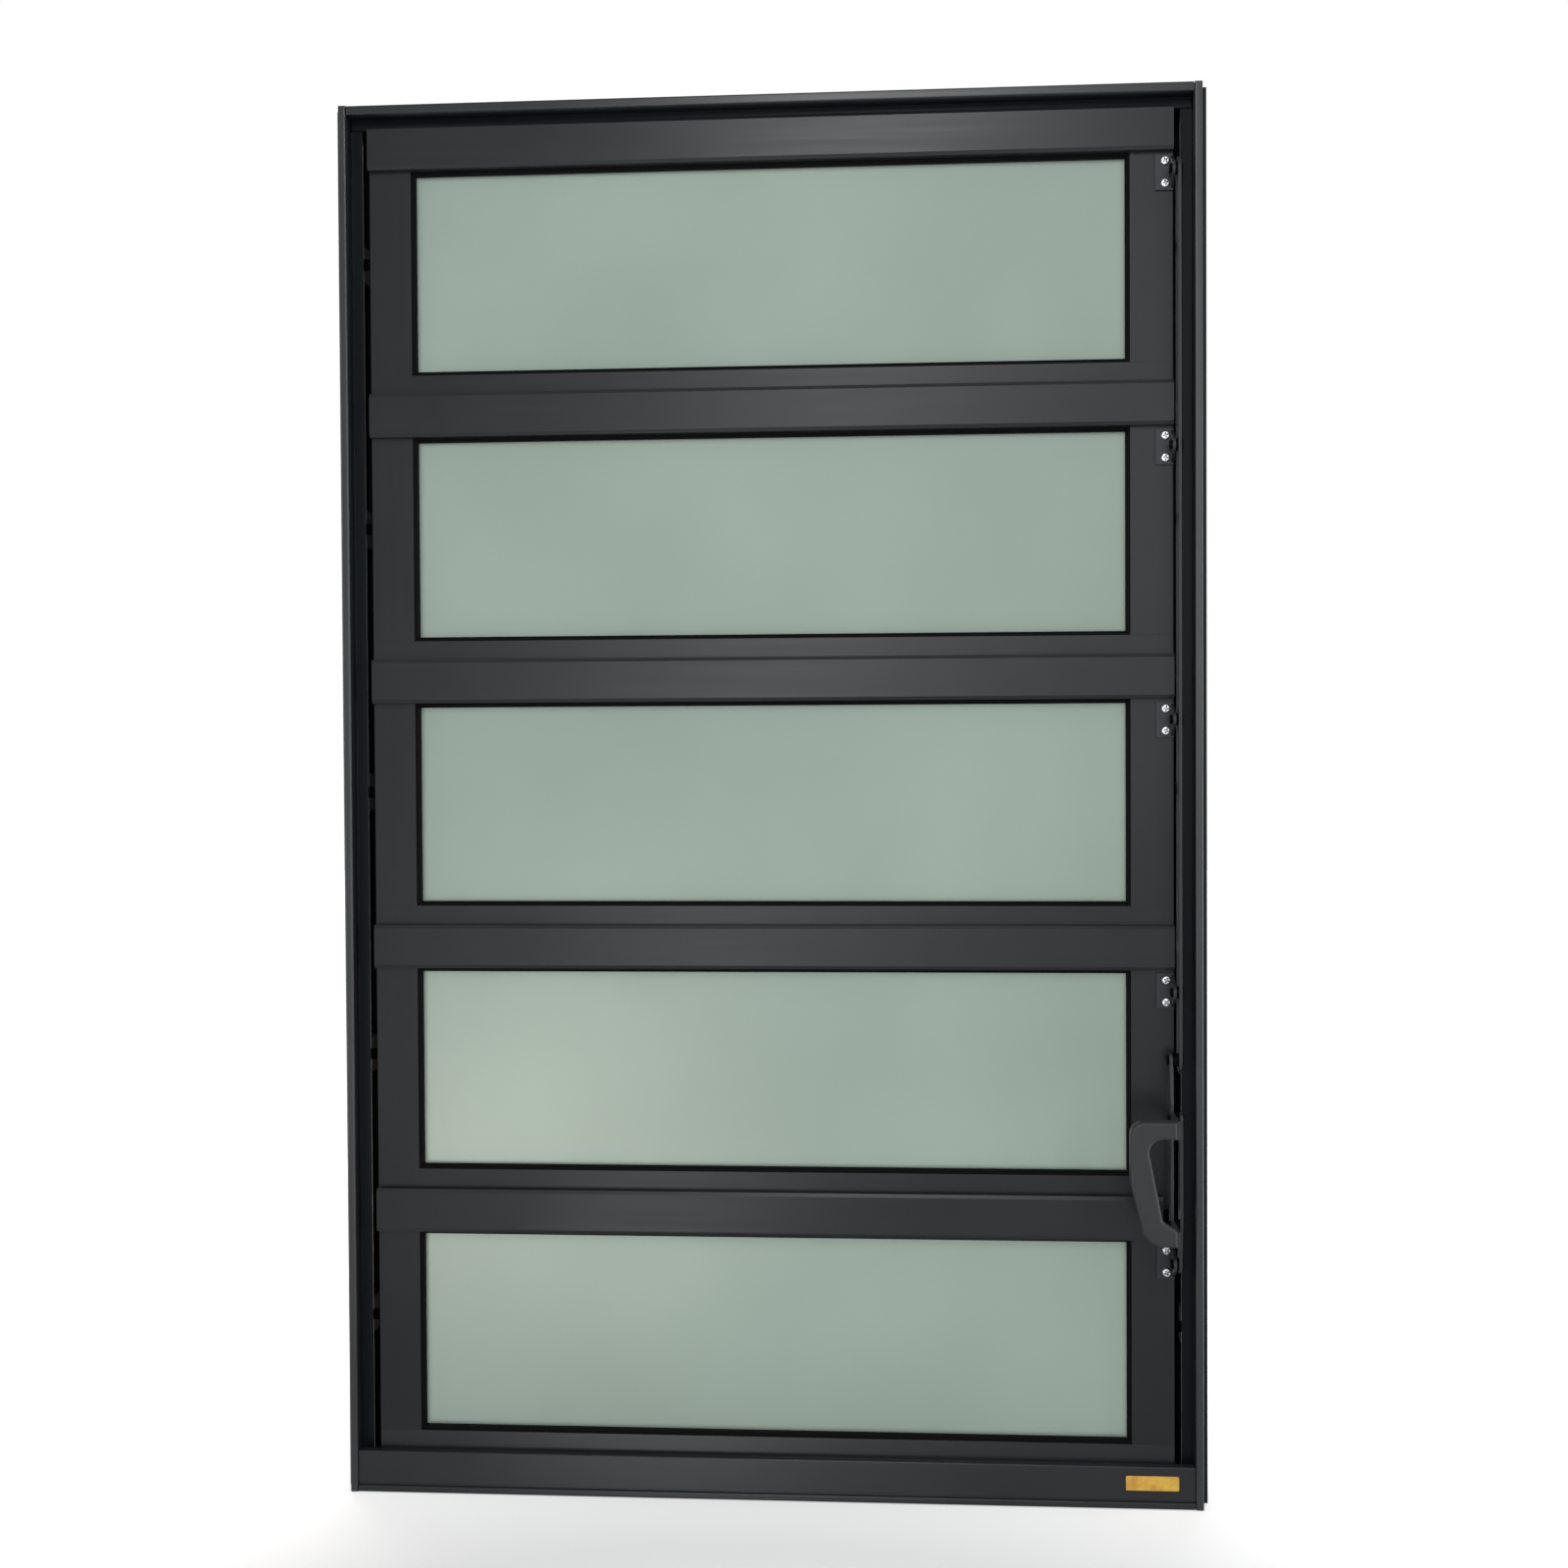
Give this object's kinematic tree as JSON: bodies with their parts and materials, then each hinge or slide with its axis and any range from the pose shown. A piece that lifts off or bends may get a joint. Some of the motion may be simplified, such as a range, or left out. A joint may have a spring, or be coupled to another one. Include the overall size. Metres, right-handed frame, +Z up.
{
  "type": "horizontal pivot window with linked sashes",
  "caption": "Black aluminium window whose stacked frosted-glass sashes tilt together on horizontal pivots, worked by a rod and a C-shaped handle.",
  "frame": {"origin": "middle of the sill's flat underside, in the vertical plane of the sash pivots", "axes": "+X to the right seen from the room, +Y outward from the room, +Z up"},
  "size_m": [0.621, 0.091, 1],
  "materials": {
    "black_aluminium": "satin powder coat",
    "black_steel": "satin",
    "black_grip": "satin",
    "black_nylon": "matt",
    "gasket_rubber": "matt",
    "frosted_glass": "frosted pale green"
  },
  "bodies": {
    "frame": {"frame_head": "black_aluminium", "frame_sill": "black_aluminium", "frame_jamb_left": "black_aluminium", "frame_jamb_right": "black_aluminium", "jamb_seals": "gasket_rubber", "pivot_blocks": "black_nylon"},
    "sash_1": {"sash_1_top_rail": "black_aluminium", "sash_1_bottom_rail": "black_aluminium", "sash_1_stile_left": "black_aluminium", "sash_1_stile_right": "black_aluminium", "sash_1_glass": "frosted_glass", "sash_1_gasket": "gasket_rubber", "sash_1_bracket": "black_steel"},
    "sash_2": {"sash_2_top_rail": "black_aluminium", "sash_2_bottom_rail": "black_aluminium", "sash_2_stile_left": "black_aluminium", "sash_2_stile_right": "black_aluminium", "sash_2_glass": "frosted_glass", "sash_2_gasket": "gasket_rubber", "sash_2_bracket": "black_steel"},
    "sash_3": {"sash_3_top_rail": "black_aluminium", "sash_3_bottom_rail": "black_aluminium", "sash_3_stile_left": "black_aluminium", "sash_3_stile_right": "black_aluminium", "sash_3_glass": "frosted_glass", "sash_3_gasket": "gasket_rubber", "sash_3_bracket": "black_steel"},
    "sash_4": {"sash_4_top_rail": "black_aluminium", "sash_4_bottom_rail": "black_aluminium", "sash_4_stile_left": "black_aluminium", "sash_4_stile_right": "black_aluminium", "sash_4_glass": "frosted_glass", "sash_4_gasket": "gasket_rubber", "sash_4_bracket": "black_steel"},
    "sash_5": {"sash_5_top_rail": "black_aluminium", "sash_5_bottom_rail": "black_aluminium", "sash_5_stile_left": "black_aluminium", "sash_5_stile_right": "black_aluminium", "sash_5_glass": "frosted_glass", "sash_5_gasket": "gasket_rubber", "sash_5_bracket": "black_steel"},
    "linkage": {"connecting_rod": "black_steel", "lever_bar": "black_steel", "lever_link": "black_steel", "handle_grip": "black_grip", "link_rivets": "black_steel"}
  },
  "joints": [
    {"name": "sash_1_pivot", "type": "hinge", "parent": "frame", "child": "sash_1", "pos_m": [0, 0, 0.8915], "axis": [1, 0, 0], "range_deg": [0, 45]},
    {"name": "sash_2_pivot", "type": "hinge", "parent": "frame", "child": "sash_2", "pos_m": [0, 0, 0.6995], "axis": [1, 0, 0], "range_deg": [0, 45]},
    {"name": "sash_3_pivot", "type": "hinge", "parent": "frame", "child": "sash_3", "pos_m": [0, 0, 0.5075], "axis": [1, 0, 0], "range_deg": [0, 45]},
    {"name": "sash_4_pivot", "type": "hinge", "parent": "frame", "child": "sash_4", "pos_m": [0, 0, 0.3155], "axis": [1, 0, 0], "range_deg": [0, 45]},
    {"name": "sash_5_pivot", "type": "hinge", "parent": "frame", "child": "sash_5", "pos_m": [0, 0, 0.1235], "axis": [1, 0, 0], "range_deg": [0, 45]},
    {"name": "linkage_pivot", "type": "hinge", "parent": "sash_1", "child": "linkage", "pos_m": [0.288, -0.0185, 0.941], "axis": [1, 0, 0], "range_deg": [-45, 0]}
  ],
  "couplings": [
    {"joint": "sash_2_pivot", "follows": "sash_1_pivot", "ratio": 1},
    {"joint": "sash_3_pivot", "follows": "sash_1_pivot", "ratio": 1},
    {"joint": "sash_4_pivot", "follows": "sash_1_pivot", "ratio": 1},
    {"joint": "sash_5_pivot", "follows": "sash_1_pivot", "ratio": 1},
    {"joint": "linkage_pivot", "follows": "sash_1_pivot", "ratio": -1}
  ]
}
